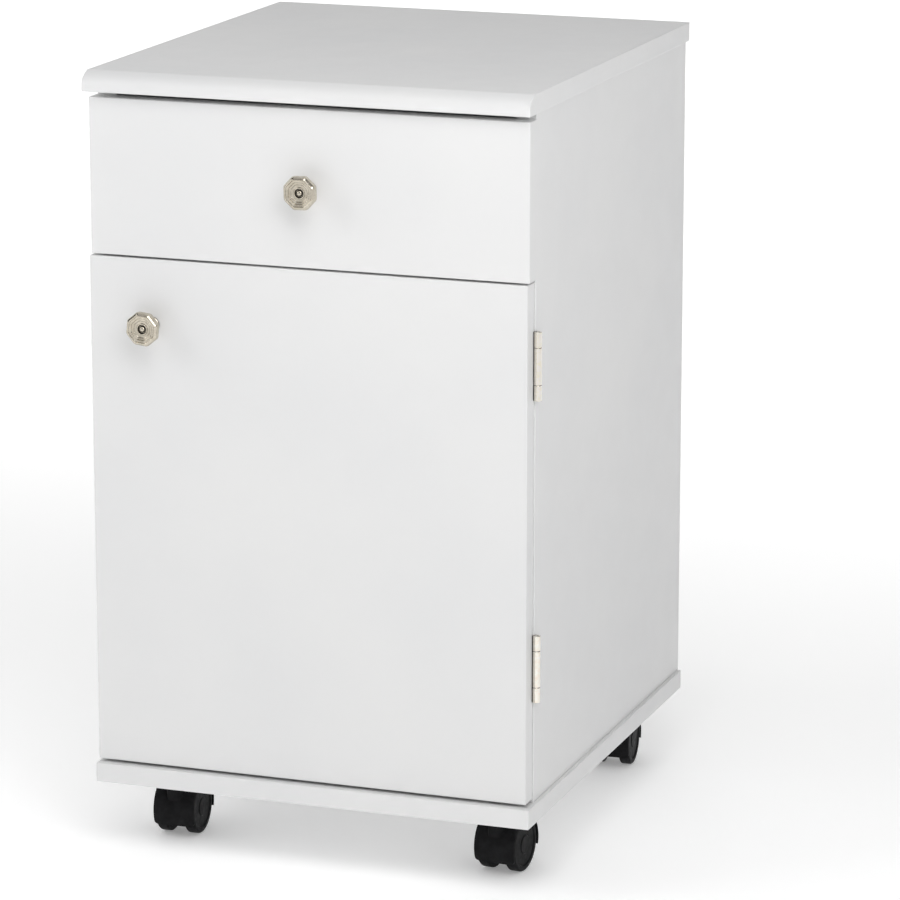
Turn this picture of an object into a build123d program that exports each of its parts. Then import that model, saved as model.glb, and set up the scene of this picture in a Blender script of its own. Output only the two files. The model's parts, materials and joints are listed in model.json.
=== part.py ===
from build123d import *
import os
from math import cos, radians, sin, tan

# Rolling pedestal cabinet: one drawer over one cupboard door, on four twin-wheel casters.
# X runs to the right as seen from the front, Y runs from the front to the back, Z is up.
# The origin is on the floor, under the middle of the cabinet. All sizes are in millimetres.

# ---- Driving dimensions -------------------------------------------------------------------

HEIGHT = 722.5              # floor to the top surface
CASTER_HEIGHT = 67.5        # floor to the underside of the base
BOARD = 18.0                # thickness of the carcass boards and fronts
FRONT_Y = -218.0            # outer face of the drawer front and the door
BACK_Y = 243.0              # rear edge of the top and sides
TOP_HALF = 208.5            # half the width of the top and base panels
SIDE_OUT = 205.0            # outer face of each side panel
FRONT_GAP = 0.8             # air between the fronts and the carcass behind them
EDGE_ROUND = 0.8            # rounding of the laminated board edges

NOSE_OVERHANG = 9.0         # top's front edge beyond the fronts
NOSE_DEPTH = 13.0           # waterfall edge, front to back
NOSE_DROP = 12.0            # waterfall edge, from the top down to where it is upright
NOSE_SLOPE = 22.0           # waterfall edge's first slope, in degrees
NOSE_UNDER_ROUND = 0.8      # small rounding below the waterfall edge
NOSE_CREASE_PULL = 0.4      # share of the depth over which the first slope holds
NOSE_FACE_PULL = 0.55       # share of the drop over which the curve turns upright

BASE_FRONT_Y = FRONT_Y - 5.5
BASE_BACK_Y = 241.0

FRONT_HALF = 205.7          # half the width of the drawer front
FRONTS_GAP = 2.0            # between the drawer front and the door
DRAWER_FRONT_BOTTOM = 558.5
DRAWER_FRONT_TOP = 698.9
DOOR_BOTTOM = 88.5
DOOR_SHIFT = -1.8           # the door hangs slightly to the left

BACK_PANEL_THICK = 5.0
BACK_PANEL_Y = 230.0        # front face of the back panel
BACK_GROOVE_DEPTH = 8.0
BACK_PANEL_TONGUE = 7.0     # how far the back panel enters its grooves

DIVIDER_BOTTOM = 548.5
SHELF_BOTTOM = 303.5
SHELF_FRONT_Y = -180.0
SHELF_SIDE_GAP = 0.7
PIN_HOLE_PITCH = 32.0
PIN_HOLE_ROWS = 7           # shelf heights to choose from
PIN_ROW_FRONT_Y = -140.0
PIN_ROW_BACK_Y = 180.0

DRAWER_SIDE_GAP = 12.5      # between the carcass side and the drawer side, for the slides
DRAWER_BOARD = 12.0
DRAWER_BOX_BOTTOM = 580.5
DRAWER_BOX_HEIGHT = 100.0
DRAWER_BOX_BACK_Y = 200.0
DRAWER_BOTTOM_THICK = 4.0
DRAWER_BOTTOM_RAISE = 10.0  # from the drawer sides' lower edge to the bottom's underside
DRAWER_GROOVE = 6.0

SLIDE_SHEET = 1.2
ROLLER_RADIUS = 8.0
ROLLER_WIDTH = 5.4
ROLLER_SIDE_AIR = 3.6       # from the carcass side to the roller
ROLLER_AIR = 0.3            # between a roller and each flange

HINGE_HEIGHTS = (482.5, 209.4)
HINGE_LENGTH = 61.0
KNUCKLE_RADIUS = 3.7
MIDDLE_KNUCKLE = 33.0
KNUCKLE_GAP = 0.3
BARREL_AIR = 0.35           # between the barrel and the boards
HINGE_PIN_RADIUS = 1.9
HINGE_PIN_X = 207.0
LEAF_THICK = 1.2
LEAF_GAP = 0.4
LEAF_INNER_X = 188.5

KNOB_ACROSS = 30.0          # across the flats of the octagon
KNOB_OUT = 24.5             # how far the knob stands out
DRAWER_KNOB = (2.1, 628.7)
DRAWER_KNOB_TURN = 2.0
DOOR_KNOB = (-148.3, 497.5)
DOOR_KNOB_TURN = -6.0

STEM_X = 157.2              # caster swivel axes
STEM_FRONT_Y = -158.9
STEM_BACK_Y = 176.5
CASTER_TRAIL = 19.2         # from the swivel axis back to the wheel axle
WHEEL_RADIUS = 25.0
WHEEL_INNER = 8.8           # wheel's inner and outer faces, from the caster's middle
WHEEL_OUTER = 19.2
HOOD_HALF = 20.0
HOOD_RADIUS = 28.0
WHEEL_DISC = 4.2            # thickness of a wheel's disc at its hub
WEB_HALF = 8.2
WEB_RADIUS = 17.5
AXLE_RADIUS = 2.5
KINGPIN_RADIUS = 4.0
CASTER_PLATE = 42.0
CASTER_PLATE_THICK = 2.5
CASTER_SCREW_PITCH = 32.0

RUNNING_FIT = 0.05          # radial clearance of turning and sliding round fits
SCREW_FIT = 0.05            # radial clearance of a screw or dowel in its hole

# ---- Places worked out from them ----------------------------------------------------------

FRONT_BACK_Y = FRONT_Y + BOARD              # inner face of the fronts
CARCASS_FRONT_Y = FRONT_BACK_Y + FRONT_GAP
BASE_TOP = CASTER_HEIGHT + BOARD
TOP_BOTTOM = HEIGHT - BOARD
SIDE_IN = SIDE_OUT - BOARD
DOOR_TOP = DRAWER_FRONT_BOTTOM - FRONTS_GAP
DIVIDER_TOP = DIVIDER_BOTTOM + BOARD
HINGE_PIN_Y = FRONT_BACK_Y + FRONT_GAP / 2
DRAWER_OUT = SIDE_IN - DRAWER_SIDE_GAP
DRAWER_IN = DRAWER_OUT - DRAWER_BOARD
BOX_TOP = DRAWER_BOX_BOTTOM + DRAWER_BOX_HEIGHT
FLANGE_RAISE = 3.0                          # drawer flange above the cabinet flange's underside
SLIDE_BOTTOM = DRAWER_BOX_BOTTOM - SLIDE_SHEET - FLANGE_RAISE
ROLLER_Z = SLIDE_BOTTOM + SLIDE_SHEET + ROLLER_AIR + ROLLER_RADIUS
SLIDE_ROOF = ROLLER_Z + ROLLER_RADIUS + ROLLER_AIR
FRONT_ROLLER_Y = CARCASS_FRONT_Y + 15.0
BACK_ROLLER_Y = DRAWER_BOX_BACK_Y - 12.0
SIDES = (-1, 1)


# ---- Shape helpers ------------------------------------------------------------------------

def block(x0, x1, y0, y1, z0, z1):
    """Block between two opposite corners."""
    size = Box(abs(x1 - x0), y1 - y0, z1 - z0)
    return Pos((x0 + x1) / 2, (y0 + y1) / 2, (z0 + z1) / 2) * size


def turned(points):
    """Solid of revolution about Z from its half outline, as (radius, height) points."""
    outline = Polyline(*[(radius, 0, height) for radius, height in points], close=True)
    return revolve(make_face(outline), Axis.Z)


def along(start, direction, shape):
    """Shape drawn from the origin up Z, moved to a start point and turned to a direction."""
    return Plane(origin=start, z_dir=direction) * shape


def rod(start, direction, radius, length):
    """Round bar from a start point along a direction."""
    return along(start, direction, turned([(0, 0), (radius, 0), (radius, length), (0, length)]))


def softened(solid, axis, radius=EDGE_ROUND):
    """Board with the edges along one axis rounded."""
    return fillet(solid.edges().filter_by(axis), radius)


def cut(blank, *tool_lists):
    """Blank with every tool of the given lists taken away."""
    tools = [tool for tools in tool_lists for tool in tools]
    return blank - tools if tools else blank


def joined(solids):
    """Separate pieces that share one node."""
    return Compound(children=[solid for piece in solids for solid in piece.solids()])


# ---- Fasteners ----------------------------------------------------------------------------

SCREW_HEAD = 3.2
SCREW_HEAD_HEIGHT = 2.0
SCREW_SHANK = 1.75
SCREW_TIP = 3.0


def cross_recess(depth, reach=1.9, width=0.8):
    """Cross for a screwdriver, cut down from the origin."""
    slot = Pos(0, 0, depth / 2) * Box(2 * reach, width, depth)
    return slot + Rot(0, 0, 90) * slot


def flat_screw(head, direction, length):
    """Countersunk chipboard screw, from the middle of its head's flat face."""
    body = turned([(0, 0), (SCREW_HEAD, 0), (SCREW_HEAD, 0.3), (SCREW_SHANK, SCREW_HEAD_HEIGHT),
                   (SCREW_SHANK, length - SCREW_TIP), (0.3, length), (0, length)])
    return along(head, direction, body - cross_recess(1.1))


def flat_screw_hole(head, direction, length):
    """Countersunk hole for flat_screw."""
    fit = SCREW_FIT
    hole = turned([(0, 0), (SCREW_HEAD + fit, 0), (SCREW_HEAD + fit, 0.3),
                   (SCREW_SHANK + fit, SCREW_HEAD_HEIGHT), (SCREW_SHANK + fit, length + 0.5),
                   (0, length + 0.5)])
    return along(head, direction, hole)


PAN_HEAD = 3.6
PAN_HEIGHT = 2.2
PAN_SHANK = 2.0


def pan_screw(seat, direction, length):
    """Pan-head screw, from the middle of the face that its head presses on."""
    body = turned([(0, -PAN_HEIGHT), (PAN_HEAD - 1.2, -PAN_HEIGHT), (PAN_HEAD, -PAN_HEIGHT + 0.9),
                   (PAN_HEAD, 0), (PAN_SHANK, 0), (PAN_SHANK, length - SCREW_TIP),
                   (0.3, length), (0, length)])
    recess = Pos(0, 0, -PAN_HEIGHT) * cross_recess(1.2)
    return along(seat, direction, body - recess)


def pan_screw_hole(seat, direction, length):
    """Straight hole for pan_screw."""
    return rod(seat, direction, PAN_SHANK + SCREW_FIT, length + 0.5)


CAM_RADIUS = 7.4
CAM_DEPTH = 12.2
CAM_POCKET = 12.8
BOLT_REACH = 34.0           # from the cam's middle to the joint
BOLT_THREAD = 11.0
DOWEL_RADIUS = 4.0
DOWEL_LENGTH = 30.0


def cam_lock(face_point, into, toward, scale=1.0):
    """Round cam with a mouth for the bolt's head and a cross on its face."""
    radius = CAM_RADIUS * scale
    depth = CAM_DEPTH * scale
    drum = turned([(0, 0.3), (radius - 0.6, 0.3), (radius, 0.9), (radius, depth), (0, depth)])
    mouth = Pos(radius, 0, depth * 0.74) * Box(2 * radius, 6.6 * scale, 6.6 * scale)
    cross = Pos(0, 0, 0.3) * cross_recess(2.0, reach=3.4 * scale, width=1.3)
    return Plane(origin=face_point, x_dir=toward, z_dir=into) * (drum - mouth - cross)


def cam_pocket(face_point, into, scale=1.0):
    """Round pocket for a cam lock."""
    return rod(face_point, into, CAM_RADIUS * scale + SCREW_FIT, CAM_POCKET * scale)


def cam_bolt(start, toward, reach=BOLT_REACH, thread=BOLT_THREAD, scale=1.0):
    """Bolt from the cam's middle, across the joint, into the other board."""
    head, neck, shaft, screw = (2.9 * scale, 1.7 * scale, 3.4 * scale, 2.9 * scale)
    body = turned([(0, 1.0), (head, 1.0), (head, 3.0), (neck, 3.0), (neck, 9.0), (shaft, 9.0),
                   (shaft, reach), (screw, reach), (screw, reach + thread - 1),
                   (screw - 1, reach + thread), (0, reach + thread)])
    return along(start, toward, body)


def cam_bolt_hole(start, toward, reach=BOLT_REACH, thread=BOLT_THREAD, scale=1.0):
    """Hole for cam_bolt, wide up to the joint and narrow beyond it."""
    wide = 3.4 * scale + SCREW_FIT
    narrow = 2.9 * scale + SCREW_FIT
    hole = turned([(0, 0), (wide, 0), (wide, reach), (narrow, reach),
                   (narrow, reach + thread + 0.5), (0, reach + thread + 0.5)])
    return along(start, toward, hole)


def dowel(middle, direction, length=DOWEL_LENGTH, radius=DOWEL_RADIUS):
    """Wood dowel with chamfered ends."""
    half = length / 2
    body = turned([(0, -half), (radius - 1, -half), (radius, 1 - half), (radius, half - 1),
                   (radius - 1, half), (0, half)])
    return along(middle, direction, body)


def dowel_hole(middle, direction, length=DOWEL_LENGTH, radius=DOWEL_RADIUS):
    """Hole for a dowel, a little longer at both ends."""
    start = Vector(middle) - Vector(direction) * (length / 2 + 0.5)
    return rod(start, direction, radius + SCREW_FIT, length + 1)


# ---- Carcass joints: cam locks, bolts and dowels ------------------------------------------

CAM_ROWS_Y = (-150.0, 190.0)
DOWEL_ROWS_Y = (-110.0, 150.0)
CAM_AXIS_DEPTH = CAM_DEPTH * 0.74   # from the board's face to the bolt's axis
UP, DOWN = (0, 0, 1), (0, 0, -1)


def carcass_cams():
    """Place, drilling direction and bolt direction of every carcass cam lock."""
    places = []
    for side in SIDES:
        inner = side * SIDE_IN
        for y in CAM_ROWS_Y:
            places.append(((inner, y, TOP_BOTTOM - BOLT_REACH), (side, 0, 0), UP))
            places.append(((inner, y, BASE_TOP + BOLT_REACH), (side, 0, 0), DOWN))
            places.append(((inner - side * BOLT_REACH, y, DIVIDER_BOTTOM), UP, (side, 0, 0)))
    return places


def bolt_start(place):
    """Point on the bolt's axis at the cam's middle."""
    face_point, into, _ = place
    return Vector(face_point) + Vector(into) * CAM_AXIS_DEPTH


def carcass_dowels():
    """Middle and direction of every carcass dowel."""
    places = []
    edge_x = SIDE_OUT - BOARD / 2
    for side in SIDES:
        for y in DOWEL_ROWS_Y:
            places.append(((side * edge_x, y, TOP_BOTTOM - 3), UP))
            places.append(((side * edge_x, y, BASE_TOP + 3), UP))
            places.append(((side * (SIDE_IN - 4), y, DIVIDER_BOTTOM + BOARD / 2), (side, 0, 0)))
    return places


CAM_PLACES = carcass_cams()
DOWEL_PLACES = carcass_dowels()
CAM_POCKETS = [cam_pocket(point, into) for point, into, _ in CAM_PLACES]
BOLT_HOLES = [cam_bolt_hole(bolt_start(place), place[2]) for place in CAM_PLACES]
DOWEL_HOLES = [dowel_hole(middle, direction) for middle, direction in DOWEL_PLACES]
CARCASS_HOLES = CAM_POCKETS + BOLT_HOLES + DOWEL_HOLES


# ---- Screws of the cabinet, drawer and door -----------------------------------------------

SHORT_SCREW = 15.0
LONG_SCREW = 25.0
LEAF_SCREW_OFFSETS = (-23.0, 0.0, 23.0)
LEAF_SCREW_STAGGER = 2.2
LEAF_SCREW_X = 196.4
SLIDE_SCREW_Y = (-155.0, 20.0, 165.0)
SLIDE_SCREW_Z = ROLLER_Z
DRAWER_SLIDE_SCREW_Y = (-150.0, 140.0)
DRAWER_SLIDE_SCREW_IN = 3.6     # from the drawer side's outer face, clear of the groove
STRIKE_THICK = 0.7
STRIKE_Z = DIVIDER_BOTTOM - 6.5
CATCH_X = -150.0
CATCH_SCREW_REACH = 18.0
CATCH_POLE_Y = FRONT_BACK_Y + STRIKE_THICK + 0.4
CATCH_CASE_Y = CATCH_POLE_Y + 1.4
CATCH_BACK_Y = CATCH_CASE_Y + 13.5
CATCH_BOTTOM = DIVIDER_BOTTOM - 12.0
CATCH_EAR = 3.0


def leaf_screws(facing):
    """Head and direction of the screws of both hinges' leaves on one side of the joint."""
    places = []
    for height in HINGE_HEIGHTS:
        for offset in LEAF_SCREW_OFFSETS:
            stagger = -LEAF_SCREW_STAGGER if offset == 0 else LEAF_SCREW_STAGGER
            head = (LEAF_SCREW_X + stagger, HINGE_PIN_Y + facing * LEAF_GAP / 2, height + offset)
            places.append((head, (0, facing, 0)))
    return places


def slide_screws():
    """Screws of the cabinet slides, in the webs."""
    return [((side * (SIDE_IN - SCREW_HEAD_HEIGHT), y, SLIDE_SCREW_Z), (side, 0, 0))
            for side in SIDES for y in SLIDE_SCREW_Y]


def catch_screws():
    """Screws through the catch's ears into the divider."""
    middle_y = (CATCH_CASE_Y + CATCH_BACK_Y) / 2
    return [((CATCH_X + side * CATCH_SCREW_REACH, middle_y, DIVIDER_BOTTOM - CATCH_EAR), UP)
            for side in SIDES]


def drawer_screws():
    """Screws through the drawer sides into the back, and up through the slides."""
    places = []
    back_y = DRAWER_BOX_BACK_Y - DRAWER_BOARD / 2
    for side in SIDES:
        for z in (DRAWER_BOX_BOTTOM + 35, DRAWER_BOX_BOTTOM + 80):
            places.append(((side * DRAWER_OUT, back_y, z), (-side, 0, 0)))
        for y in DRAWER_SLIDE_SCREW_Y:
            head = (side * (DRAWER_OUT - DRAWER_SLIDE_SCREW_IN), y, DRAWER_BOX_BOTTOM - SLIDE_SHEET)
            places.append((head, UP))
    return places


def holes_for(places, length):
    """Countersunk holes for the screws at the given places."""
    return [flat_screw_hole(head, way, length) for head, way in places]


SIDE_LEAF_SCREWS = leaf_screws(1)
SLIDE_SCREWS = slide_screws()
CATCH_SCREWS = catch_screws()
CABINET_SCREWS = SIDE_LEAF_SCREWS + SLIDE_SCREWS + CATCH_SCREWS
STRIKE_SCREW = ((CATCH_X, FRONT_BACK_Y + STRIKE_THICK, STRIKE_Z), (0, -1, 0))
DOOR_SCREWS = leaf_screws(-1) + [STRIKE_SCREW]
DRAWER_SCREWS = drawer_screws()


# ---- Carcass boards -----------------------------------------------------------------------

def back_groove():
    """Groove that holds the back panel on all four boards."""
    reach = SIDE_IN + BACK_GROOVE_DEPTH
    return block(-reach, reach, BACK_PANEL_Y - 0.1, BACK_PANEL_Y + BACK_PANEL_THICK + 0.1,
                 BASE_TOP - BACK_GROOVE_DEPTH, TOP_BOTTOM + BACK_GROOVE_DEPTH)


def top_panel():
    """Top with a waterfall front edge: a crease, a falling curve and an upright face."""
    front_y = FRONT_Y - NOSE_OVERHANG
    crease = (front_y + NOSE_DEPTH, HEIGHT)
    reach = NOSE_DEPTH * NOSE_CREASE_PULL
    falling = (crease[0] - reach, HEIGHT - reach * tan(radians(NOSE_SLOPE)))
    upright_top = HEIGHT - NOSE_DROP
    nose = Bezier(crease, falling, (front_y, upright_top + NOSE_DROP * NOSE_FACE_PULL),
                  (front_y, upright_top))
    under_centre = (front_y + NOSE_UNDER_ROUND, TOP_BOTTOM + NOSE_UNDER_ROUND)
    under = CenterArc(under_centre, NOSE_UNDER_ROUND, 180, 90)
    upright = Line(nose @ 1, under @ 0)
    rest = Polyline(under @ 1, (BACK_Y, TOP_BOTTOM), (BACK_Y, HEIGHT), nose @ 0)
    outline = make_face(Curve() + [nose, upright, under, rest])
    panel = extrude(Plane.YZ * outline, TOP_HALF, both=True)
    ends = panel.faces().sort_by(Axis.X)
    rims = ends[0].edges() + ends[-1].edges()
    back_rim = panel.edges().group_by(Axis.Y)[-1].sort_by(Axis.Z)[-1]
    panel = fillet(rims + [back_rim], EDGE_ROUND)
    return cut(panel, [back_groove()], CARCASS_HOLES)


def base_panel(caster_holes):
    """Base, a little larger than the body all round."""
    panel = block(-TOP_HALF, TOP_HALF, BASE_FRONT_Y, BASE_BACK_Y, CASTER_HEIGHT, BASE_TOP)
    panel = fillet(panel.edges(), EDGE_ROUND)
    return cut(panel, [back_groove()], CARCASS_HOLES, caster_holes)


def pin_hole_places():
    """Every shelf pin hole, as side, row and height."""
    lowest = SHELF_BOTTOM - PIN_HOLE_PITCH * (PIN_HOLE_ROWS // 2)
    heights = [lowest + PIN_HOLE_PITCH * step for step in range(PIN_HOLE_ROWS)]
    return [(side, y, z) for side in SIDES for y in (PIN_ROW_FRONT_Y, PIN_ROW_BACK_Y)
            for z in heights]


PIN_RADIUS = 2.5
PIN_SUPPORT_RADIUS = 3.0
PIN_SUPPORT_LENGTH = 8.0
PIN_COLLAR_RADIUS = 4.8
PIN_COLLAR_THICK = 0.5
PIN_DEPTH = 9.0


def leaf_recess(leaf_y, outer_x):
    """Shallow recesses that take the hinge leaves."""
    reach = HINGE_LENGTH / 2 + 0.2
    return [block(LEAF_INNER_X - 0.2, outer_x, leaf_y, leaf_y + LEAF_THICK,
                  height - reach, height + reach) for height in HINGE_HEIGHTS]


def barrel_recess():
    """Room for the hinge barrels in the corners of the side board and the door."""
    reach = HINGE_LENGTH / 2 + 0.2
    return [rod((HINGE_PIN_X, HINGE_PIN_Y, height - reach), UP, KNUCKLE_RADIUS + BARREL_AIR,
                2 * reach) for height in HINGE_HEIGHTS]


def side_panel(side):
    """Side board, with the hinge recesses on the right-hand one."""
    panel = block(*sorted((side * SIDE_IN, side * SIDE_OUT)), CARCASS_FRONT_Y, BACK_Y,
                  BASE_TOP, TOP_BOTTOM)
    outer_edges = panel.edges().filter_by(Axis.Z).group_by(Axis.X)[-1 if side > 0 else 0]
    panel = fillet(outer_edges, EDGE_ROUND)
    pin_holes = [rod((side * SIDE_IN, y, z - PIN_SUPPORT_RADIUS), (side, 0, 0),
                     PIN_RADIUS + SCREW_FIT, PIN_DEPTH + 1)
                 for place_side, y, z in pin_hole_places() if place_side == side]
    hinge_cuts = []
    if side > 0:
        hinge_cuts = (leaf_recess(HINGE_PIN_Y + LEAF_GAP / 2, TOP_HALF) + barrel_recess()
                      + holes_for(SIDE_LEAF_SCREWS, SHORT_SCREW))
    slide_holes = holes_for([place for place in SLIDE_SCREWS if place[1][0] == side], SHORT_SCREW)
    near = [tool for tool in CARCASS_HOLES if side * tool.center().X > 0]
    return cut(panel, [back_groove()], near, pin_holes, hinge_cuts, slide_holes)


def back_panel():
    """Thin back, held in the grooves."""
    reach = SIDE_IN + BACK_PANEL_TONGUE
    return block(-reach, reach, BACK_PANEL_Y, BACK_PANEL_Y + BACK_PANEL_THICK,
                 BASE_TOP - BACK_PANEL_TONGUE, TOP_BOTTOM + BACK_PANEL_TONGUE)


def divider_panel():
    """Fixed board between the drawer and the cupboard."""
    panel = block(-SIDE_IN, SIDE_IN, CARCASS_FRONT_Y, BACK_PANEL_Y, DIVIDER_BOTTOM, DIVIDER_TOP)
    return cut(panel, CARCASS_HOLES, holes_for(CATCH_SCREWS, SHORT_SCREW))


def shelf():
    """Adjustable shelf, resting on the pins."""
    half = SIDE_IN - SHELF_SIDE_GAP
    panel = block(-half, half, SHELF_FRONT_Y, BACK_PANEL_Y - 2,
                  SHELF_BOTTOM, SHELF_BOTTOM + BOARD)
    return softened(panel, Axis.X)


def shelf_pin(side, y):
    """Steel pin: a peg in the side board, a collar and a round support."""
    outline = [(0, -PIN_DEPTH), (PIN_RADIUS - 0.5, -PIN_DEPTH), (PIN_RADIUS, 0.5 - PIN_DEPTH),
               (PIN_RADIUS, 0), (PIN_COLLAR_RADIUS, 0), (PIN_COLLAR_RADIUS, PIN_COLLAR_THICK),
               (PIN_SUPPORT_RADIUS, PIN_COLLAR_THICK), (PIN_SUPPORT_RADIUS, PIN_SUPPORT_LENGTH),
               (0, PIN_SUPPORT_LENGTH)]
    start = (side * SIDE_IN, y, SHELF_BOTTOM - PIN_SUPPORT_RADIUS)
    return along(start, (-side, 0, 0), turned(outline))


def shelf_pins():
    """The four pins under the shelf."""
    return joined([shelf_pin(side, y) for side in SIDES
                   for y in (PIN_ROW_FRONT_Y, PIN_ROW_BACK_Y)])


def cam_locks():
    """Zinc cam locks of the carcass."""
    return joined([cam_lock(point, into, toward) for point, into, toward in CAM_PLACES])


def cam_bolts():
    """Steel bolts that the cams pull on."""
    return joined([cam_bolt(bolt_start(place), place[2]) for place in CAM_PLACES])


def wood_dowels():
    """Beech dowels that line the boards up."""
    return joined([dowel(middle, direction) for middle, direction in DOWEL_PLACES])


# ---- Drawer slides: each side has a cabinet member, a drawer member and two rollers --------

SLIDE_BEND = 1.0
CABINET_SLIDE_FRONT_Y = CARCASS_FRONT_Y + 2.0
CABINET_SLIDE_BACK_Y = DRAWER_BOX_BACK_Y + 3.0
DRAWER_SLIDE_FRONT_Y = FRONT_BACK_Y + 0.5
CABINET_FLANGE = 10.6       # reach of the cabinet member's lower flange, from the carcass side
CABINET_LIP_HEIGHT = 2.8
CABINET_ROOF = 5.0          # reach of its upper flange
DRAWER_ROOF = 6.0           # where the drawer member's upper flange begins
RIVET_RADIUS = 2.45
RIVET_HEAD = 3.5
RIVET_HEAD_THICK = 0.8
RIVET_AIR = 0.2


def slide_block(side, near, far, y0, y1, z0, z1):
    """Block given by its distances from the carcass side's inner face."""
    return block(*sorted((side * (SIDE_IN - near), side * (SIDE_IN - far))), y0, y1, z0, z1)


def bent_edges(section, side, x, heights):
    """Section with its outer bends at one face rounded."""
    long_edges = section.edges().filter_by(Axis.Y)
    bends = [edge for edge in long_edges
             if abs(edge.center().X - side * x) < 0.01
             and min(abs(edge.center().Z - height) for height in heights) < 0.01]
    return fillet(bends, SLIDE_BEND)


def cabinet_slide(side):
    """Channel on the carcass side: web, lower track with a lip, and short upper flange."""
    y0, y1 = CABINET_SLIDE_FRONT_Y, CABINET_SLIDE_BACK_Y
    roof = SLIDE_ROOF + SLIDE_SHEET
    track = SLIDE_BOTTOM + SLIDE_SHEET
    channel = slide_block(side, 0, SLIDE_SHEET, y0, y1, SLIDE_BOTTOM, roof)
    channel += slide_block(side, 0, CABINET_FLANGE, y0, y1, SLIDE_BOTTOM, track)
    channel += slide_block(side, CABINET_FLANGE - SLIDE_SHEET, CABINET_FLANGE, y0, y1,
                           SLIDE_BOTTOM, track + CABINET_LIP_HEIGHT)
    channel += slide_block(side, 0, CABINET_ROOF, y0, y1, SLIDE_ROOF, roof)
    channel = bent_edges(channel, side, SIDE_IN, (SLIDE_BOTTOM, roof))
    rivet_hole = rod((side * SIDE_IN, FRONT_ROLLER_Y, ROLLER_Z), (-side, 0, 0),
                     RIVET_RADIUS + SCREW_FIT, 2 * SLIDE_SHEET)
    return cut(channel, [rivet_hole], holes_for(SLIDE_SCREWS, SHORT_SCREW))


def drawer_slide(side):
    """Angle under the drawer side, with an upper flange that runs on the front roller."""
    y0, y1 = DRAWER_SLIDE_FRONT_Y, DRAWER_BOX_BACK_Y
    web_far = DRAWER_SIDE_GAP
    web_near = web_far - SLIDE_SHEET
    low = DRAWER_BOX_BOTTOM - SLIDE_SHEET
    roof = SLIDE_ROOF + SLIDE_SHEET
    angle = slide_block(side, web_near, web_far, y0, y1, low, roof)
    angle += slide_block(side, web_near, web_far + DRAWER_BOARD, y0, y1, low, DRAWER_BOX_BOTTOM)
    angle += slide_block(side, DRAWER_ROOF, web_far, y0, y1, SLIDE_ROOF, roof)
    angle = bent_edges(angle, side, SIDE_IN - web_near, (low,))
    rivet_hole = rod((side * DRAWER_OUT, BACK_ROLLER_Y, ROLLER_Z), (side, 0, 0),
                     RIVET_RADIUS + SCREW_FIT, 2 * SLIDE_SHEET)
    return cut(angle, [rivet_hole], holes_for(DRAWER_SCREWS, LONG_SCREW))


def roller_rivet(start, direction, web_to_roller):
    """Rivet through the sheet: collar up to the roller, axle, and outer head."""
    collar_end = web_to_roller - RIVET_AIR
    head_start = web_to_roller + ROLLER_WIDTH + RIVET_AIR
    outline = [(0, 0), (RIVET_RADIUS, 0), (RIVET_RADIUS, SLIDE_SHEET), (RIVET_HEAD, SLIDE_SHEET),
               (RIVET_HEAD, collar_end), (RIVET_RADIUS, collar_end), (RIVET_RADIUS, head_start),
               (RIVET_HEAD, head_start), (RIVET_HEAD - 0.5, head_start + RIVET_HEAD_THICK),
               (0, head_start + RIVET_HEAD_THICK)]
    return along(start, direction, turned(outline))


def cabinet_slide_rivets():
    """Axles of the two front rollers."""
    return joined([roller_rivet((side * SIDE_IN, FRONT_ROLLER_Y, ROLLER_Z), (-side, 0, 0),
                                ROLLER_SIDE_AIR) for side in SIDES])


def drawer_slide_rivets():
    """Axles of the two back rollers."""
    reach = DRAWER_SIDE_GAP - ROLLER_SIDE_AIR - ROLLER_WIDTH
    return joined([roller_rivet((side * DRAWER_OUT, BACK_ROLLER_Y, ROLLER_Z), (side, 0, 0),
                                reach) for side in SIDES])


def rollers(y):
    """Pair of nylon rollers, left and right, on one axis across the cabinet."""
    bore = RIVET_RADIUS + RUNNING_FIT
    rim, width = ROLLER_RADIUS, ROLLER_WIDTH
    outline = [(bore, 0), (4.4, 0), (4.4, 0.4), (6.6, 0.4), (6.6, 0), (rim - 0.5, 0), (rim, 0.5),
               (rim, width - 0.5), (rim - 0.5, width), (bore, width)]
    starts = [(side * (SIDE_IN - ROLLER_SIDE_AIR), y, ROLLER_Z) for side in SIDES]
    return joined([along(start, (-side, 0, 0), turned(outline))
                   for side, start in zip(SIDES, starts)])


# ---- Drawer -------------------------------------------------------------------------------

DRAWER_CAM_SCALE = 0.8
DRAWER_BOLT_REACH = 24.0
DRAWER_BOLT_THREAD = 9.0
GROOVE_AIR = 0.1
DRAWER_TONGUE = DRAWER_GROOVE - 0.5


def drawer_cam_places():
    """Cam locks on the inner faces of the drawer sides."""
    z = DRAWER_BOX_BOTTOM + DRAWER_BOX_HEIGHT / 2
    return [((side * DRAWER_IN, FRONT_BACK_Y + DRAWER_BOLT_REACH, z), (side, 0, 0), (0, -1, 0))
            for side in SIDES]


def drawer_bolt_start(place):
    """Point on the drawer bolt's axis at the cam's middle."""
    face_point, into, _ = place
    return Vector(face_point) + Vector(into) * (CAM_AXIS_DEPTH * DRAWER_CAM_SCALE)


def drawer_bolt_holes():
    """Holes for the bolts between the drawer sides and the front."""
    return [cam_bolt_hole(drawer_bolt_start(place), place[2], DRAWER_BOLT_REACH,
                          DRAWER_BOLT_THREAD, DRAWER_CAM_SCALE) for place in drawer_cam_places()]


def drawer_groove():
    """Groove for the drawer bottom, all round the box."""
    reach = DRAWER_IN + DRAWER_GROOVE
    z = DRAWER_BOX_BOTTOM + DRAWER_BOTTOM_RAISE
    return block(-reach, reach, FRONT_BACK_Y - DRAWER_GROOVE,
                 DRAWER_BOX_BACK_Y - DRAWER_BOARD + DRAWER_GROOVE,
                 z - GROOVE_AIR, z + DRAWER_BOTTOM_THICK + GROOVE_AIR)


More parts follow.
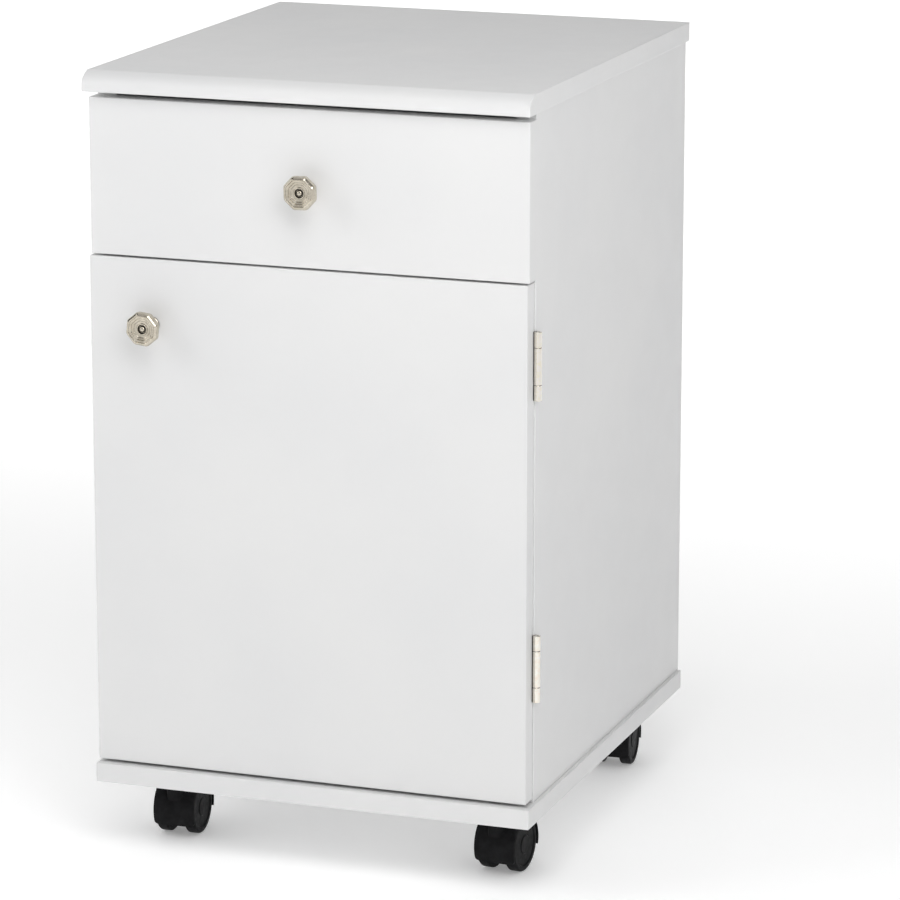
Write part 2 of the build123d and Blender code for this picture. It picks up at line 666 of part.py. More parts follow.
def knob_hole(x, z):
    """Hole through a front for the knob's screw."""
    return rod((x, FRONT_BACK_Y + 1, z), (0, -1, 0), KNOB_SCREW_RADIUS + 0.25, BOARD + 2)


def front_board(x0, x1, z0, z1):
    """Front board with all its edges rounded."""
    board = block(x0, x1, FRONT_Y, FRONT_BACK_Y, z0, z1)
    return fillet(board.edges(), EDGE_ROUND)


def drawer_front():
    """Drawer front, wider and higher than the box behind it."""
    board = front_board(-FRONT_HALF, FRONT_HALF, DRAWER_FRONT_BOTTOM, DRAWER_FRONT_TOP)
    return cut(board, [drawer_groove(), knob_hole(*DRAWER_KNOB)], drawer_bolt_holes())


def drawer_side(side):
    """Long side of the drawer box."""
    board = block(*sorted((side * DRAWER_IN, side * DRAWER_OUT)), FRONT_BACK_Y,
                  DRAWER_BOX_BACK_Y, DRAWER_BOX_BOTTOM, BOX_TOP)
    top_edges = board.edges().filter_by(Axis.Y).group_by(Axis.Z)[-1]
    board = fillet(top_edges, EDGE_ROUND)
    pockets = [cam_pocket(point, into, DRAWER_CAM_SCALE)
               for point, into, _ in drawer_cam_places()]
    return cut(board, [drawer_groove()], pockets, drawer_bolt_holes(),
               holes_for(DRAWER_SCREWS, LONG_SCREW))


def drawer_back():
    """Back of the drawer box, between its sides."""
    board = block(-DRAWER_IN, DRAWER_IN, DRAWER_BOX_BACK_Y - DRAWER_BOARD, DRAWER_BOX_BACK_Y,
                  DRAWER_BOX_BOTTOM, BOX_TOP)
    board = fillet(board.edges().filter_by(Axis.X).group_by(Axis.Z)[-1], EDGE_ROUND)
    return cut(board, [drawer_groove()], holes_for(DRAWER_SCREWS, LONG_SCREW))


def drawer_bottom():
    """Thin bottom, held in the groove."""
    reach = DRAWER_IN + DRAWER_TONGUE
    z = DRAWER_BOX_BOTTOM + DRAWER_BOTTOM_RAISE
    return block(-reach, reach, FRONT_BACK_Y - DRAWER_TONGUE,
                 DRAWER_BOX_BACK_Y - DRAWER_BOARD + DRAWER_TONGUE, z, z + DRAWER_BOTTOM_THICK)


def drawer_cam_locks():
    """Small cam locks that hold the drawer front."""
    return joined([cam_lock(point, into, toward, DRAWER_CAM_SCALE)
                   for point, into, toward in drawer_cam_places()])


def drawer_cam_bolts():
    """Bolts of the drawer front."""
    return joined([cam_bolt(drawer_bolt_start(place), place[2], DRAWER_BOLT_REACH,
                            DRAWER_BOLT_THREAD, DRAWER_CAM_SCALE)
                   for place in drawer_cam_places()])


# ---- Door, knobs and catch ----------------------------------------------------------------

def door_panel():
    """Door, with recesses for the hinge leaves on its inner face."""
    board = front_board(DOOR_SHIFT - FRONT_HALF, DOOR_SHIFT + FRONT_HALF, DOOR_BOTTOM, DOOR_TOP)
    recesses = leaf_recess(HINGE_PIN_Y - LEAF_GAP / 2 - LEAF_THICK, TOP_HALF)
    return cut(board, recesses, barrel_recess(), [knob_hole(*DOOR_KNOB)],
               holes_for(DOOR_SCREWS, SHORT_SCREW))


KNOB_SCREW_RADIUS = 1.95
KNOB_SCREW_REACH = 10.0     # how far the screw enters the knob
KNOB_FOOT_RADIUS = 7.5
KNOB_FOOT_HEIGHT = 2.0
KNOB_NECK_RADIUS = 5.6
KNOB_NECK_TOP = 8.5
KNOB_CUP_TOP = 16.5         # where the flared back of the head meets its rim
KNOB_CUP_ACROSS = 26.0
KNOB_RIM_BOTTOM = 18.0
KNOB_RIM_TOP = 22.3
KNOB_FACE_ACROSS = 25.2
KNOB_STEPS = ((22.4, 0.7), (18.4, 1.4), (14.4, 2.1), (10.8, 2.7))   # across, depth of each step
KNOB_WELL_RADIUS = 4.0
KNOB_WELL_DEPTH = 4.4
KNOB_BUTTON_RADIUS = 2.4
KNOB_BUTTON_RISE = 1.2      # straight part of the button, above the well's bottom
KNOB_BUTTON_DOME = 0.6      # height of its dome over its radius
KNOB_SCREW_HEAD_RADIUS = 4.0
KNOB_SCREW_HEAD = 2.4


def octagon(across, height):
    """Octagon with flats at the top and sides, at a height on the knob's axis."""
    shape = RegularPolygon(across / 2, 8, major_radius=False, rotation=22.5)
    return Plane.XY.offset(height) * shape


def knob_shape():
    """Octagonal knob with a bevelled rim, a stepped face and a button in the middle."""
    foot = turned([(0, 0), (KNOB_FOOT_RADIUS, 0), (KNOB_FOOT_RADIUS, KNOB_FOOT_HEIGHT - 0.6),
                   (KNOB_FOOT_RADIUS - 0.8, KNOB_FOOT_HEIGHT), (KNOB_NECK_RADIUS, KNOB_FOOT_HEIGHT),
                   (KNOB_NECK_RADIUS - 0.6, 5), (KNOB_NECK_RADIUS, KNOB_NECK_TOP),
                   (0, KNOB_NECK_TOP)])
    neck_top = Plane.XY.offset(KNOB_NECK_TOP) * Circle(KNOB_NECK_RADIUS)
    cup = loft([neck_top, octagon(KNOB_CUP_ACROSS, KNOB_CUP_TOP)])
    under = loft([octagon(KNOB_CUP_ACROSS, KNOB_CUP_TOP), octagon(KNOB_ACROSS, KNOB_RIM_BOTTOM)])
    rim = extrude(octagon(KNOB_ACROSS, KNOB_RIM_BOTTOM), KNOB_RIM_TOP - KNOB_RIM_BOTTOM)
    bevel = loft([octagon(KNOB_ACROSS, KNOB_RIM_TOP), octagon(KNOB_FACE_ACROSS, KNOB_OUT)])
    knob = foot + cup + under + rim + bevel
    for across, depth in KNOB_STEPS:
        knob -= extrude(octagon(across, KNOB_OUT - depth), depth + 1)
    well_z = KNOB_OUT - KNOB_WELL_DEPTH
    knob -= rod((0, 0, well_z), UP, KNOB_WELL_RADIUS, KNOB_WELL_DEPTH + 1)
    knob += rod((0, 0, well_z - 1), UP, KNOB_BUTTON_RADIUS, KNOB_BUTTON_RISE + 1)
    dome = scale(Sphere(KNOB_BUTTON_RADIUS), (1, 1, KNOB_BUTTON_DOME))
    knob += Pos(0, 0, well_z + KNOB_BUTTON_RISE) * dome
    return knob - rod((0, 0, -1), UP, KNOB_SCREW_RADIUS + SCREW_FIT, KNOB_SCREW_REACH + 2)


def placed_knob(shape, x, z, turn):
    """Knob on a front, turned a little about its own axis, counter-clockwise if positive."""
    front = Plane(origin=(x, FRONT_Y, z), x_dir=(1, 0, 0), z_dir=(0, -1, 0))
    return front * (Rot(0, 0, turn) * shape)


def knob_screw(x, z):
    """Machine screw through a front into the knob."""
    reach = BOARD + KNOB_SCREW_REACH
    head = KNOB_SCREW_HEAD_RADIUS
    outline = [(0, -KNOB_SCREW_HEAD), (0.7 * head, -KNOB_SCREW_HEAD),
               (head, -KNOB_SCREW_HEAD / 2), (head, 0), (KNOB_SCREW_RADIUS, 0),
               (KNOB_SCREW_RADIUS, reach), (0, reach)]
    body = turned(outline) - Pos(0, 0, -KNOB_SCREW_HEAD) * cross_recess(1.4)
    return along((x, FRONT_BACK_Y, z), (0, -1, 0), body)


CATCH_HALF = 13.0
CATCH_EAR_HALF = 23.0
MAGNET_HALF = 10.0
POLE_THICK = 1.2
MAGNET_BOTTOM = CATCH_BOTTOM + 3.5
MAGNET_TOP = DIVIDER_BOTTOM - 3.5
MAGNET_BACK_Y = CATCH_CASE_Y + 8.0
CATCH_FIT = 0.1


def catch_block(half, y0, y1, z0, z1):
    """Block centred on the catch."""
    return block(CATCH_X - half, CATCH_X + half, y0, y1, z0, z1)


def catch_case():
    """Plastic case of the magnetic catch, with two screw ears."""
    case = catch_block(CATCH_HALF, CATCH_CASE_Y, CATCH_BACK_Y, CATCH_BOTTOM, DIVIDER_BOTTOM)
    case = softened(case, Axis.Y, 1.5)
    ears = catch_block(CATCH_EAR_HALF, CATCH_CASE_Y + 2, CATCH_BACK_Y - 1,
                       DIVIDER_BOTTOM - CATCH_EAR, DIVIDER_BOTTOM)
    ears = softened(ears, Axis.Z, 3.0)
    pocket = catch_block(MAGNET_HALF + CATCH_FIT, CATCH_CASE_Y - 1, MAGNET_BACK_Y + CATCH_FIT,
                         MAGNET_BOTTOM - POLE_THICK - CATCH_FIT, MAGNET_TOP + POLE_THICK + CATCH_FIT)
    return cut(case + ears, [pocket], holes_for(CATCH_SCREWS, SHORT_SCREW))


def catch_magnet():
    """Ferrite block between the two pole plates."""
    return catch_block(MAGNET_HALF, CATCH_POLE_Y + 0.7, MAGNET_BACK_Y, MAGNET_BOTTOM, MAGNET_TOP)


def catch_poles():
    """Steel plates above and below the magnet, which stand out to meet the strike plate."""
    lower = catch_block(MAGNET_HALF, CATCH_POLE_Y, MAGNET_BACK_Y,
                        MAGNET_BOTTOM - POLE_THICK, MAGNET_BOTTOM)
    upper = catch_block(MAGNET_HALF, CATCH_POLE_Y, MAGNET_BACK_Y,
                        MAGNET_TOP, MAGNET_TOP + POLE_THICK)
    return joined([lower, upper])


def strike_plate():
    """Thin steel plate on the door, opposite the catch."""
    plate = catch_block(15, FRONT_BACK_Y, FRONT_BACK_Y + STRIKE_THICK, STRIKE_Z - 5.8,
                        STRIKE_Z + 5.8)
    return cut(softened(plate, Axis.Y, 1.5), holes_for(DOOR_SCREWS, SHORT_SCREW))


# ---- Butt hinges --------------------------------------------------------------------------

LEAF_OUTER_X = HINGE_PIN_X - KNUCKLE_RADIUS - 0.8
KNUCKLE_ROUND = 0.3


def knuckle(z0, z1):
    """Rolled barrel segment."""
    barrel = Pos(HINGE_PIN_X, HINGE_PIN_Y, z0) * turned(
        [(0, 0), (KNUCKLE_RADIUS, 0), (KNUCKLE_RADIUS, z1 - z0), (0, z1 - z0)])
    return fillet(barrel.edges().filter_by(GeomType.CIRCLE), KNUCKLE_ROUND)


def hinge_leaf(height, facing, spans, screws):
    """Flat leaf with its knuckles; facing is +1 for the side board and -1 for the door."""
    y0, y1 = sorted((HINGE_PIN_Y + facing * LEAF_GAP / 2,
                     HINGE_PIN_Y + facing * (LEAF_GAP / 2 + LEAF_THICK)))
    half = HINGE_LENGTH / 2
    leaf = block(LEAF_INNER_X, LEAF_OUTER_X, y0, y1, height - half, height + half)
    inner_corners = leaf.edges().filter_by(Axis.Y).group_by(Axis.X)[0]
    leaf = fillet(inner_corners, 1.0)
    for low, high in spans:
        leaf += block(LEAF_OUTER_X - 1, HINGE_PIN_X, y0, y1, height + low, height + high)
        leaf += knuckle(height + low, height + high)
    bore = rod((HINGE_PIN_X, HINGE_PIN_Y, height - half - 1), UP,
               HINGE_PIN_RADIUS + RUNNING_FIT, HINGE_LENGTH + 2)
    return cut(leaf, [bore], holes_for(screws, SHORT_SCREW))


MIDDLE_SPAN = (-MIDDLE_KNUCKLE / 2, MIDDLE_KNUCKLE / 2)
END_SPANS = ((-HINGE_LENGTH / 2, MIDDLE_SPAN[0] - KNUCKLE_GAP),
             (MIDDLE_SPAN[1] + KNUCKLE_GAP, HINGE_LENGTH / 2))


def hinge_side_leaves():
    """Leaves on the side board, each with the two end knuckles."""
    return joined([hinge_leaf(height, 1, END_SPANS, SIDE_LEAF_SCREWS)
                   for height in HINGE_HEIGHTS])


def hinge_door_leaves():
    """Leaves on the door, each with the long middle knuckle."""
    return joined([hinge_leaf(height, -1, (MIDDLE_SPAN,), DOOR_SCREWS)
                   for height in HINGE_HEIGHTS])


def hinge_pins():
    """Steel pins, as long as the barrels."""
    half = HINGE_LENGTH / 2
    outline = [(0, -half), (HINGE_PIN_RADIUS - 0.4, -half), (HINGE_PIN_RADIUS, 0.4 - half),
               (HINGE_PIN_RADIUS, half - 0.4), (HINGE_PIN_RADIUS - 0.4, half), (0, half)]
    return joined([Pos(HINGE_PIN_X, HINGE_PIN_Y, height) * turned(outline)
                   for height in HINGE_HEIGHTS])


# ---- Casters ------------------------------------------------------------------------------

STEMS = {
    "front_left": (-STEM_X, STEM_FRONT_Y),
    "front_right": (STEM_X, STEM_FRONT_Y),
    "back_left": (-STEM_X, STEM_BACK_Y),
    "back_right": (STEM_X, STEM_BACK_Y),
}
CASTER_TURNS = {            # how far each caster happens to be swivelled, in degrees
    "front_left": 2.0,
    "front_right": -6.0,
    "back_left": 3.0,
    "back_right": 4.0,
}
HOOD_BORE = WHEEL_RADIUS + 0.8
HOOD_ROUND = 1.9
HOOD_FRONT_ANGLE = 27.0     # the hood's front edge, below the axle
HOOD_BACK_ANGLE = 13.0      # its back edge, below the axle
BOSS_RADIUS = 8.5           # neck that holds the kingpin
BOSS_BOTTOM = 12.0
HOOD_CORNER = 5.0           # rounding of the hood's lower front corners
KINGPIN_FLANGE_RADIUS = 6.0
KINGPIN_FLANGE = 1.0
BOSS_TOP = CASTER_HEIGHT - WHEEL_RADIUS - CASTER_PLATE_THICK - KINGPIN_FLANGE - 0.3
SOCKET_BOTTOM = 23.0        # bottom of the kingpin's socket, above the axle
KINGPIN_BOTTOM = 23.4
AXLE_HALF = 17.2
PLATE_SCREW_LENGTH = 14.0


def hood_outline(radius):
    """Side view of the hood: a disc cut off by a line below the axle."""
    front, back = radians(HOOD_FRONT_ANGLE), radians(HOOD_BACK_ANGLE)
    low = (-radius * cos(front), -radius * sin(front))
    high = (radius * cos(back), -radius * sin(back))
    above = Polygon(low, high, (2 * radius, high[1]), (2 * radius, 2 * radius),
                    (-2 * radius, 2 * radius), (-2 * radius, low[1]), align=None)
    return Circle(radius) & above


def slab(outline, x0, x1):
    """Side-view outline given thickness across the caster."""
    return Pos(x0, 0, 0) * extrude(Plane.YZ * outline, x1 - x0)


def hood_corner(side):
    """Tool that rounds one lower front corner of the hood."""
    low = -HOOD_RADIUS * sin(radians(HOOD_FRONT_ANGLE))
    centre = Pos(side * (HOOD_HALF - HOOD_CORNER), low + HOOD_CORNER)
    square = centre * Pos(side * HOOD_CORNER, -HOOD_CORNER) * Rectangle(2 * HOOD_CORNER,
                                                                       2 * HOOD_CORNER)
    return extrude(Plane.XZ.offset(HOOD_RADIUS / 2) * (square - centre * Circle(HOOD_CORNER)),
                   HOOD_RADIUS)


def hood_shape():
    """Hood about the axle: one shell over both wheels, the kingpin's neck and a middle web."""
    hood = slab(hood_outline(HOOD_RADIUS), -HOOD_HALF, HOOD_HALF)
    rims = [edge for edge in hood.edges().filter_by(GeomType.CIRCLE)
            if abs(edge.radius - HOOD_RADIUS) < 0.01]
    hood = fillet(rims, HOOD_ROUND)
    hood += rod((0, -CASTER_TRAIL, BOSS_BOTTOM), UP, BOSS_RADIUS, BOSS_TOP - BOSS_BOTTOM)
    for side in SIDES:
        hood -= rod((side * WEB_HALF, 0, 0), (side, 0, 0), HOOD_BORE, HOOD_HALF)
        hood -= hood_corner(side)
    hood += slab(Circle(WEB_RADIUS), -WEB_HALF, WEB_HALF)
    hood -= rod((0, -CASTER_TRAIL, SOCKET_BOTTOM), UP, KINGPIN_RADIUS + RUNNING_FIT,
                BOSS_TOP - SOCKET_BOTTOM + 1)
    return hood - rod((-WEB_HALF - 1, 0, 0), (1, 0, 0), AXLE_RADIUS, 2 * WEB_HALF + 2)


def wheel_shape(side):
    """One wheel about the axle: rounded tread, dished outer face, hollow inner side."""
    width = WHEEL_OUTER - WHEEL_INNER
    bore = AXLE_RADIUS + RUNNING_FIT
    hollow = width - WHEEL_DISC
    outline = [(bore, 0), (7.0, 0), (7.0, hollow), (20.8, hollow), (20.8, 0), (WHEEL_RADIUS, 0),
               (WHEEL_RADIUS, width), (20.0, width), (19.2, width - 0.9), (9.0, width - 0.9),
               (8.2, width - 0.2), (0, width - 0.2), (0, width - 1.6), (bore, width - 1.6)]
    wheel = turned(outline)
    tread = [edge for edge in wheel.edges().filter_by(GeomType.CIRCLE)
             if abs(edge.radius - WHEEL_RADIUS) < 0.01]
    inner, outer = sorted(tread, key=lambda edge: edge.center().Z)
    wheel = fillet(same_circle(wheel, inner), 1.2)
    wheel = fillet(same_circle(wheel, outer), 2.4)
    return along((side * WHEEL_INNER, 0, 0), (side, 0, 0), wheel)


def same_circle(solid, wanted):
    """The solid's circular edge that lies where the wanted one lies."""
    return [edge for edge in solid.edges().filter_by(GeomType.CIRCLE)
            if (edge.center() - wanted.center()).length < 0.01
            and abs(edge.radius - wanted.radius) < 0.01]


def axle_shape():
    """Steel axle through the web into both wheels."""
    outline = [(0, 0), (AXLE_RADIUS - 0.4, 0), (AXLE_RADIUS, 0.4),
               (AXLE_RADIUS, 2 * AXLE_HALF - 0.4), (AXLE_RADIUS - 0.4, 2 * AXLE_HALF),
               (0, 2 * AXLE_HALF)]
    return along((-AXLE_HALF, 0, 0), (1, 0, 0), turned(outline))


def on_caster(shape, place):
    """Shape drawn about the axle, moved to its caster and swivelled."""
    trailing = Pos(0, CASTER_TRAIL, WHEEL_RADIUS) * shape
    return Pos(*STEMS[place]) * (Rot(0, 0, CASTER_TURNS[place]) * trailing)


def plate_screw_places():
    """Seats of the screws through the caster plates, pointing up into the base."""
    half = CASTER_SCREW_PITCH / 2
    return [((x + dx * half, y + dy * half, CASTER_HEIGHT - CASTER_PLATE_THICK), UP)
            for x, y in STEMS.values() for dx in SIDES for dy in SIDES]


def caster_screw_holes():
    """Holes in the plates and the base for the caster screws."""
    return [pan_screw_hole(seat, way, PLATE_SCREW_LENGTH) for seat, way in plate_screw_places()]


def caster_plates():
    """Steel plates under the base, one for each caster."""
    half = CASTER_PLATE / 2
    plates = []
    for x, y in STEMS.values():
        plate = block(x - half, x + half, y - half, y + half,
                      CASTER_HEIGHT - CASTER_PLATE_THICK, CASTER_HEIGHT)
        plate = softened(plate, Axis.Z, 4.0)
        plates.append(plate - rod((x, y, CASTER_HEIGHT - 2 * CASTER_PLATE_THICK), UP,
                                  KINGPIN_RADIUS + SCREW_FIT, 3 * CASTER_PLATE_THICK))
    return joined([cut(plate, caster_screw_holes()) for plate in plates])


def kingpins():
    """Pins that the hoods swivel on, riveted into the plates."""
    plate_bottom = CASTER_HEIGHT - CASTER_PLATE_THICK
    low = WHEEL_RADIUS + KINGPIN_BOTTOM
    flange = plate_bottom - KINGPIN_FLANGE
    outline = [(0, low), (KINGPIN_RADIUS - 0.6, low), (KINGPIN_RADIUS, low + 0.6),
               (KINGPIN_RADIUS, flange), (KINGPIN_FLANGE_RADIUS, flange),
               (KINGPIN_FLANGE_RADIUS, plate_bottom), (KINGPIN_RADIUS, plate_bottom),
               (KINGPIN_RADIUS, CASTER_HEIGHT), (0, CASTER_HEIGHT)]
    return joined([Pos(x, y, 0) * turned(outline) for x, y in STEMS.values()])


# ---- Every node, by name ------------------------------------------------------------------

def caster_nodes():
    """Hood, axle and two wheels of each caster."""
    shapes = {
        "caster_hood": hood_shape(),
        "caster_axle": axle_shape(),
        "caster_left_wheel": wheel_shape(-1),
        "caster_right_wheel": wheel_shape(1),
    }
    return {f"{place}_{name}": on_caster(shape, place)
            for place in STEMS for name, shape in shapes.items()}


def all_nodes():
    """Node name to shape, for the whole cabinet."""
    knob = knob_shape()
    nodes = {
        "top_panel": top_panel(),
        "left_side_panel": side_panel(-1),
        "right_side_panel": side_panel(1),
        "base_panel": base_panel(caster_screw_holes()),
        "back_panel": back_panel(),
        "divider_panel": divider_panel(),
        "shelf": shelf(),
        "shelf_pins": shelf_pins(),
        "cam_locks": cam_locks(),
        "cam_bolts": cam_bolts(),
        "wood_dowels": wood_dowels(),
        "left_cabinet_slide": cabinet_slide(-1),
        "right_cabinet_slide": cabinet_slide(1),
        "cabinet_slide_rivets": cabinet_slide_rivets(),
        "front_rollers": rollers(FRONT_ROLLER_Y),
        "back_rollers": rollers(BACK_ROLLER_Y),
        "hinge_side_leaves": hinge_side_leaves(),
        "hinge_pins": hinge_pins(),
        "cabinet_screws": joined([flat_screw(head, way, SHORT_SCREW)
                                  for head, way in CABINET_SCREWS]),
        "catch_case": catch_case(),
        "catch_magnet": catch_magnet(),
        "catch_poles": catch_poles(),
        "caster_plates": caster_plates(),
        "kingpins": kingpins(),
        "caster_screws": joined([pan_screw(seat, way, PLATE_SCREW_LENGTH)
                                 for seat, way in plate_screw_places()]),
        "drawer_front": drawer_front(),
        "drawer_left_side": drawer_side(-1),
        "drawer_right_side": drawer_side(1),
        "drawer_back": drawer_back(),
        "drawer_bottom": drawer_bottom(),
        "drawer_knob": placed_knob(knob, *DRAWER_KNOB, DRAWER_KNOB_TURN),
        "drawer_knob_screw": knob_screw(*DRAWER_KNOB),
        "left_drawer_slide": drawer_slide(-1),
        "right_drawer_slide": drawer_slide(1),
        "drawer_slide_rivets": drawer_slide_rivets(),
        "drawer_cam_locks": drawer_cam_locks(),
        "drawer_cam_bolts": drawer_cam_bolts(),
        "drawer_screws": joined([flat_screw(head, way, LONG_SCREW)
                                 for head, way in DRAWER_SCREWS]),
        "door_panel": door_panel(),
        "door_knob": placed_knob(knob, *DOOR_KNOB, DOOR_KNOB_TURN),
        "door_knob_screw": knob_screw(*DOOR_KNOB),
        "hinge_door_leaves": hinge_door_leaves(),
        "door_screws": joined([flat_screw(head, way, SHORT_SCREW)
                               for head, way in DOOR_SCREWS]),
        "strike_plate": strike_plate(),
    }
    return nodes | caster_nodes()


os.makedirs("parts", exist_ok=True)
for node_name, node_shape in all_nodes().items():
    export_step(node_shape, f"parts/{node_name}.step")
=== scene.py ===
import json
import math

import bmesh
import bpy
from mathutils import Matrix, Vector


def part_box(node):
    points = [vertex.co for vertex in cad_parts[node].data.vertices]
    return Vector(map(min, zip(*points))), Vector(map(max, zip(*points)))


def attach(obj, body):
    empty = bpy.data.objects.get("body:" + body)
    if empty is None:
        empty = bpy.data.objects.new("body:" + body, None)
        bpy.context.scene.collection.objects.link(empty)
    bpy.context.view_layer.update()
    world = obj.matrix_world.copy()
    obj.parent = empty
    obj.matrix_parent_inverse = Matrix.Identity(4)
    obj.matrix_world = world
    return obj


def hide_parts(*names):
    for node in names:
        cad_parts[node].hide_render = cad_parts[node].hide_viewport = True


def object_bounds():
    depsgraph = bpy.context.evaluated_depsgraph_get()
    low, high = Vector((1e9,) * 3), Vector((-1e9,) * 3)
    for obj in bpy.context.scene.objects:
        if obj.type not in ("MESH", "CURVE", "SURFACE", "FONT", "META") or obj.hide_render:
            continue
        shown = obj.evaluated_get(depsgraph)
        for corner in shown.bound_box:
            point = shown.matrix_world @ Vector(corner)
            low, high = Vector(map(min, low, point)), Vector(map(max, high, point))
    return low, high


# Looks of the rolling pedestal cabinet: studio, materials and the pieces that need more detail
# than the CAD model has. Lengths are in metres and every place comes from the frame.

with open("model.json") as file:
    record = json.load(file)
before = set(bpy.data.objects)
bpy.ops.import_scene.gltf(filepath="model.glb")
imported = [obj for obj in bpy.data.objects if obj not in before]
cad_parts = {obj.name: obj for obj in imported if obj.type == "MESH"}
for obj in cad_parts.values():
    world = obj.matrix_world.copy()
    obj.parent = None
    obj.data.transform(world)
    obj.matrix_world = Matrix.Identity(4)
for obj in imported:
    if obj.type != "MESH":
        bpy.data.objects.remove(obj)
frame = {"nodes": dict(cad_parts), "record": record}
cad_low, cad_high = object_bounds()
centre = Vector((0, 0, cad_high.z / 2))
MM = 0.001
AO_SAMPLES = 8


# ---- Building a material ------------------------------------------------------------------

class Finish:
    """A procedural material while it is put together."""

    def __init__(self, name, colour, roughness, metallic=0.0):
        self.material = bpy.data.materials.new(name)
        self.material.use_nodes = True
        self.tree = self.material.node_tree
        self.shader = self.tree.nodes["Principled BSDF"]
        self.shader.inputs["Base Color"].default_value = (*colour, 1)
        self.shader.inputs["Roughness"].default_value = roughness
        self.shader.inputs["Metallic"].default_value = metallic
        self.place = self.node("ShaderNodeTexCoord").outputs["Object"]
        self.height = None

    def node(self, kind, **values):
        """New node, with the given input values."""
        made = self.tree.nodes.new(kind)
        for name, value in values.items():
            made.inputs[name].default_value = value
        return made

    def feed(self, output, node, name):
        """Link an output to a named input, and give the node back."""
        self.tree.links.new(output, node.inputs[name])
        return node

    def stretched(self, scales):
        """Place with each axis scaled."""
        node = self.node("ShaderNodeMapping", Scale=scales)
        return self.feed(self.place, node, "Vector").outputs["Vector"]

    def noise(self, scale, detail=2.0, roughness=0.5, place=None):
        """Noise from 0 to 1, in features per metre."""
        node = self.node("ShaderNodeTexNoise", Scale=scale, Detail=detail, Roughness=roughness)
        return self.feed(place or self.place, node, "Vector").outputs["Fac"]

    def cells(self, scale):
        """Distance to the nearest of scattered points."""
        node = self.node("ShaderNodeTexVoronoi", Scale=scale)
        return self.feed(self.place, node, "Vector").outputs["Distance"]

    def openness(self, reach):
        """How free of other surfaces a place is within a reach, from 0 to 1."""
        node = self.node("ShaderNodeAmbientOcclusion", Distance=reach)
        node.samples = AO_SAMPLES
        return node.outputs["AO"]

    def maths(self, operation, *values):
        """Result of a Math node, whose values are numbers or outputs."""
        node = self.node("ShaderNodeMath")
        node.operation = operation
        for socket, value in zip(node.inputs, values):
            if isinstance(value, (int, float)):
                socket.default_value = value
            else:
                self.tree.links.new(value, socket)
        return node.outputs[0]

    def between(self, value, low, high, start=0.3, end=0.7):
        """Value mapped smoothly to a range."""
        node = self.node("ShaderNodeMapRange")
        node.interpolation_type = "SMOOTHSTEP"
        node.inputs["From Min"].default_value = start
        node.inputs["From Max"].default_value = end
        node.inputs["To Min"].default_value = low
        node.inputs["To Max"].default_value = high
        return self.feed(value, node, "Value").outputs["Result"]

    def mixed(self, factor, first, second):
        """Colour between two colours, each a value or an output."""
        node = self.node("ShaderNodeMix")
        node.data_type = "RGBA"
        self.tree.links.new(factor, node.inputs["Factor"])
        for name, colour in (("A", first), ("B", second)):
            socket = [s for s in node.inputs if s.name == name and s.type == "RGBA"][0]
            if isinstance(colour, tuple):
                socket.default_value = (*colour, 1)
            else:
                self.tree.links.new(colour, socket)
        return [s for s in node.outputs if s.type == "RGBA"][0]

    def colour(self, output):
        """Base colour from an output."""
        self.tree.links.new(output, self.shader.inputs["Base Color"])

    def shade(self, pattern, first, second):
        """Base colour that goes from one colour to another with a pattern."""
        self.colour(self.mixed(self.between(pattern, 0, 1), first, second))

    def rough(self, pattern, low, high):
        """Roughness that goes from low to high with a pattern."""
        self.tree.links.new(self.between(pattern, low, high), self.shader.inputs["Roughness"])

    def bump(self, height, depth, strength):
        """Surface relief of a depth in metres, on top of what is there already."""
        node = self.node("ShaderNodeBump", Strength=strength, Distance=depth)
        self.feed(height, node, "Height")
        if self.height is not None:
            self.feed(self.height, node, "Normal")
        self.height = node.outputs["Normal"]
        self.tree.links.new(self.height, self.shader.inputs["Normal"])


# ---- Studio -------------------------------------------------------------------------------

# The camera's angles round the cabinet's middle are in degrees and its lens is in millimetres.
CAMERA_AZIMUTH = 19.7
CAMERA_ELEVATION = 13.69
CAMERA_DISTANCE = 4.1407
CAMERA_LENS = 178.3
CAMERA_RIGHT = 0.0517
CAMERA_UP = -0.0157
CAMERA_SEES = 100
# Height of a direction in the studio, from the horizon to overhead, and its shade.
STUDIO_SHADES = ((0.0, 0.9), (0.05, 0.85), (0.13, 0.06), (1.0, 0.14))
# Painted light: glow of the open floor near the cabinet, and how much of it a closed-in place loses, as a
# painted shadow.
FLOOR_GLOW = 0.42
FLOOR_SHADE = 0.19
SHADE_REACH = 0.35
FLOOR_HALF = 40.0
# Painted light added farther off as glow, and over which distances it comes in: behind the cabinet, and
# all round it.
FAR_GLOW = 0.25
BEHIND_STARTS = 0.3
BEHIND_ENDS = 1.8
AROUND_STARTS = 1.4
AROUND_ENDS = 2.8
BACKDROP_PLACE = Vector((-1.6, 4.3, 0))


def view_axes(azimuth, elevation):
    """Right, up and backward directions of a view, from its angles in degrees."""
    a = math.radians(azimuth)
    e = math.radians(elevation)
    back = Vector((math.sin(a) * math.cos(e), -math.cos(a) * math.cos(e), math.sin(e)))
    right = Vector((math.cos(a), math.sin(a), 0))
    return right, back.cross(right), back


def make_camera():
    """Camera at the three-quarter view, aimed a little beside the cabinet's middle."""
    right, up, back = view_axes(CAMERA_AZIMUTH, CAMERA_ELEVATION)
    data = bpy.data.cameras.new("camera")
    data.lens = CAMERA_LENS
    data.clip_end = CAMERA_SEES
    camera = bpy.data.objects.new("camera", data)
    bpy.context.scene.collection.objects.link(camera)
    place = centre + back * CAMERA_DISTANCE + right * CAMERA_RIGHT + up * CAMERA_UP
    turn = Matrix((right, up, back)).transposed().to_4x4()
    camera.matrix_world = Matrix.Translation(place) @ turn
    bpy.context.scene.camera = camera


